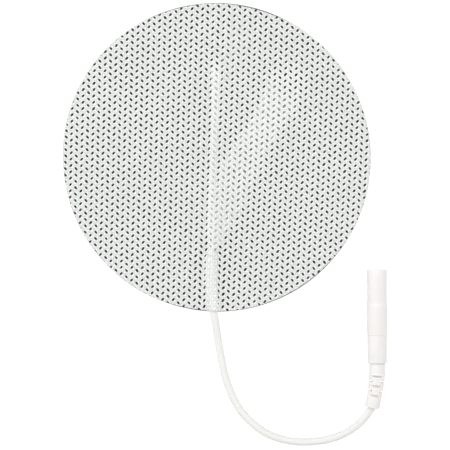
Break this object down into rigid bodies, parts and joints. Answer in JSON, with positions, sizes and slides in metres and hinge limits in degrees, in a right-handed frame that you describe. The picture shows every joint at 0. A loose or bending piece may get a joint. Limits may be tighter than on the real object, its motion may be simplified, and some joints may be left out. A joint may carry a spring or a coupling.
{
  "type": "electrotherapy electrode pad",
  "caption": "Round self-adhesive electrode pad with a white knitted cover over conductive layers, and a short lead that ends in a socket for a 2 mm pin.",
  "frame": {"origin": "centre of the round pad on the skin side of its gel, which rests on the surface", "axes": "+Z out of the skin through the knitted cover; +Y in the pad's plane, away from where the lead comes out and the way the socket's mouth faces; +X towards the side where the socket lies"},
  "size_m": [0.0737, 0.1005, 0.0046],
  "materials": {
    "hydrogel": "clear tacky gel",
    "carbon_film": "satin",
    "steel_fibre": "satin",
    "knitted_polyester": "matt knit",
    "lead_pvc": "satin",
    "connector_plastic": "satin moulded",
    "contact_metal": "nickel plated"
  },
  "bodies": {
    "root": {"gel_pad": "hydrogel", "carbon_film": "carbon_film", "conductor_fibres": "steel_fibre", "knit_cover": "knitted_polyester", "lead": "lead_pvc", "strain_relief": "connector_plastic", "socket_sleeve": "connector_plastic", "socket_contact": "contact_metal"}
  },
  "joints": []
}
